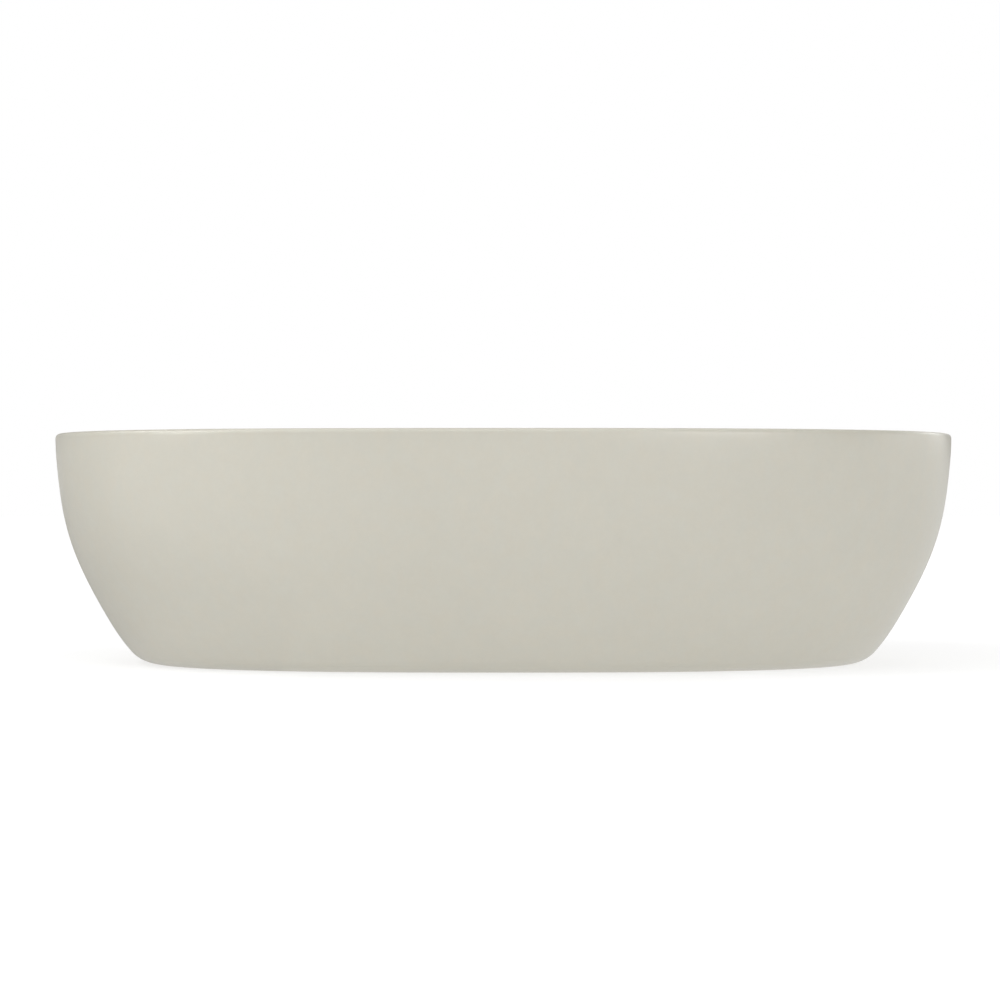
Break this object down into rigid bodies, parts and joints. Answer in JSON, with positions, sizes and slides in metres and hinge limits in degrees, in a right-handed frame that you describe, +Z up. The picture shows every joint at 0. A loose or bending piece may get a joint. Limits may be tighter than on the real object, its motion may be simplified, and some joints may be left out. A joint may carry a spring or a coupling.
{
  "type": "countertop basin",
  "caption": "Rounded-rectangular countertop wash basin in satin glazed ceramic, flaring from a narrow foot to a thin rim, with a push-open waste under a matching ceramic plug.",
  "frame": {"origin": "centre of the foot's resting plane, on the drain's axis", "axes": "+X along the long side, +Y to the back, +Z up along the drain's axis"},
  "size_m": [0.6, 0.4, 0.1525],
  "materials": {
    "glaze": "satin-matt warm greige glaze",
    "plug_glaze": "satin-matt warm greige glaze",
    "chromed_brass": "polished chrome plate on brass",
    "brass_nut": "turned and milled brass",
    "brass_rod": "turned brass",
    "spring_steel": "drawn stainless steel",
    "seal_rubber": "moulded black rubber",
    "white_plastic": "moulded acetal",
    "grey_plastic": "moulded plastic"
  },
  "bodies": {
    "basin": {"basin_body": "glaze", "waste_body": "chromed_brass", "flange_seal": "seal_rubber", "lower_seal": "seal_rubber", "slip_washer": "white_plastic", "backnut": "brass_nut", "cartridge_housing": "grey_plastic", "guide_bush": "white_plastic", "retaining_ring": "spring_steel", "cartridge_spring": "spring_steel"},
    "plug": {"plug_cap": "plug_glaze", "plug_hub": "grey_plastic", "plug_seal": "seal_rubber", "adjusting_stud": "spring_steel", "lock_nut": "brass_rod", "plunger": "brass_rod"},
    "cam": {"index_cam": "white_plastic"}
  },
  "joints": [
    {"name": "plug_slide", "type": "slide", "parent": "basin", "child": "plug", "axis": [0, 0, 1], "range_m": [-0.009, 0], "stiffness_N_per_m": 600, "springref_m": 0.008, "deforming": ["cartridge_spring"]},
    {"name": "cam_turn", "type": "hinge", "parent": "plug", "child": "cam", "pos_m": [0, 0, 0.0358], "axis": [0, 0, 1], "range_deg": [-46, 1]}
  ],
  "couplings": [
    {"joint": "cam_turn", "follows": "plug_slide", "rad_per_m": 87.266}
  ]
}
